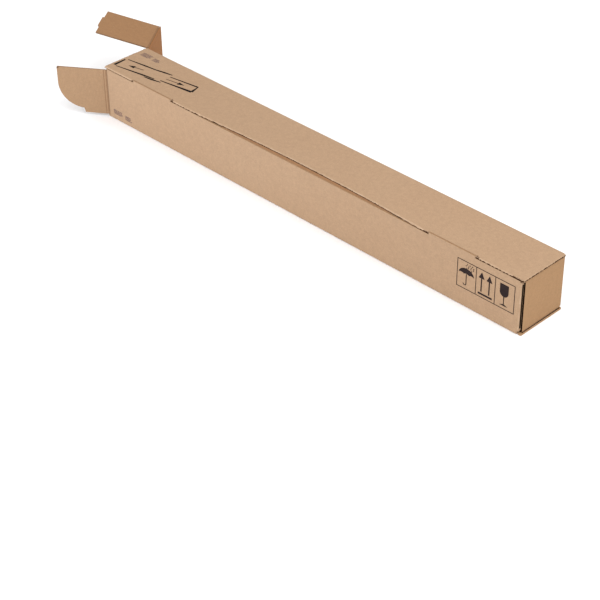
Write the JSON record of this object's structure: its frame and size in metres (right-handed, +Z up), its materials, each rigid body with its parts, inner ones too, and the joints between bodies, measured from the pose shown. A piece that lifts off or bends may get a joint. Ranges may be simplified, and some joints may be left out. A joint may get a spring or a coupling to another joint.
{
  "type": "square cardboard mailing tube",
  "caption": "Long square corrugated mailing tube folded from one sheet, with a tuck-in lid, one end shut and the flaps of the other end open.",
  "frame": {"origin": "middle of the flat face under the tube, on which it rests", "axes": "+X along the tube towards its shut end, +Y towards the back panel that carries the lid, +Z up"},
  "size_m": [1.2056, 0.2557, 0.1356],
  "materials": {
    "kraft_board": "matt brown kraft liner on corrugated board"
  },
  "bodies": {
    "tube": {"sleeve": "kraft_board"},
    "lid": {"lid": "kraft_board"},
    "end_panel": {"far_end_panel": "kraft_board"},
    "upper_ear": {"far_upper_ear": "kraft_board"},
    "lower_ear": {"far_lower_ear": "kraft_board"},
    "dust_flap": {"far_dust_flap": "kraft_board"}
  },
  "joints": [
    {"name": "lid_fold", "type": "hinge", "parent": "tube", "child": "lid", "pos_m": [0, 0.0525, 0.111], "axis": [-1, 0, 0], "range_deg": [0, 180]},
    {"name": "end_panel_fold", "type": "hinge", "parent": "tube", "child": "end_panel", "pos_m": [-0.5265, 0.054, 0.055], "axis": [0, 0, -1], "range_deg": [-61.5, 35.5]},
    {"name": "upper_ear_fold", "type": "hinge", "parent": "end_panel", "child": "upper_ear", "pos_m": [-0.5265, 0.054, 0.1062], "axis": [0.5807, -0.8141, 0], "range_deg": [-75, 15]},
    {"name": "lower_ear_fold", "type": "hinge", "parent": "end_panel", "child": "lower_ear", "pos_m": [-0.5265, 0.054, 0.0048], "axis": [-0.5807, 0.8141, 0], "range_deg": [-90, 0]},
    {"name": "dust_flap_fold", "type": "hinge", "parent": "tube", "child": "dust_flap", "pos_m": [-0.5232, -0.054, 0.055], "axis": [0, 0, 1], "range_deg": [-125, 55]}
  ]
}
